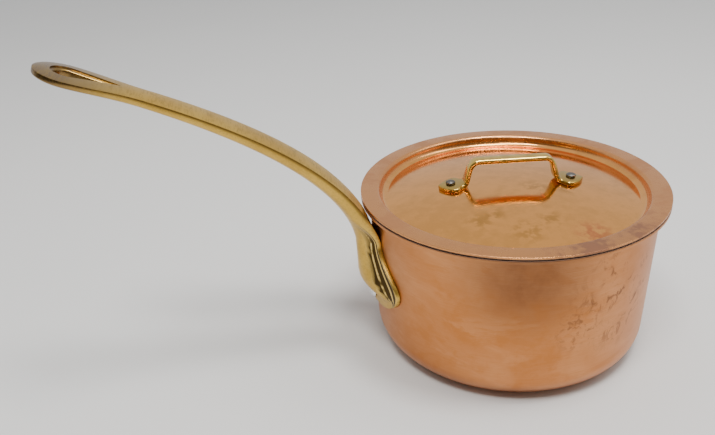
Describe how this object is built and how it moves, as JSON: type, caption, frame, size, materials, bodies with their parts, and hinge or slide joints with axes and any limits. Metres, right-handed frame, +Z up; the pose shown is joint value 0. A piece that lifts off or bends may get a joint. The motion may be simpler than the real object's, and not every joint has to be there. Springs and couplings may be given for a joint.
{
  "type": "saucepan with lid",
  "caption": "Straight-sided copper saucepan with a flared lip, a riveted cast brass handle ending in a hanging loop, and a lift-off recessed lid with a brass bow handle.",
  "frame": {"origin": "on the pan's axis, on the surface that the base stands on", "axes": "+Z up along the pan's axis; the long handle points along -X; +Y completes the right-handed frame"},
  "size_m": [0.3773, 0.2, 0.2223],
  "materials": {
    "copper_body": "satin copper, brushed round the wall, lightly tarnished",
    "copper_lid": "polished copper with faint stains",
    "lining": "brushed stainless steel lining",
    "handle_brass": "cast brass, cross-brushed, polished at the foot, darkened at the loop",
    "rivet_steel": "bright stainless steel",
    "bow_brass": "pale polished brass",
    "lid_rivet_steel": "dull grey steel"
  },
  "bodies": {
    "pan": {"pan_shell": "copper_body", "pan_lining": "lining", "long_handle": "handle_brass", "handle_rivet_lower": "rivet_steel", "handle_rivet_left": "rivet_steel", "handle_rivet_right": "rivet_steel"},
    "lid": {"lid_shell": "copper_lid", "lid_lining": "lining", "lid_handle": "bow_brass", "lid_rivet_left": "lid_rivet_steel", "lid_rivet_right": "lid_rivet_steel"}
  },
  "joints": [
    {"name": "lid_lift", "type": "slide", "parent": "pan", "child": "lid", "axis": [0, 0, 1], "range_m": [0, 0.12]}
  ]
}
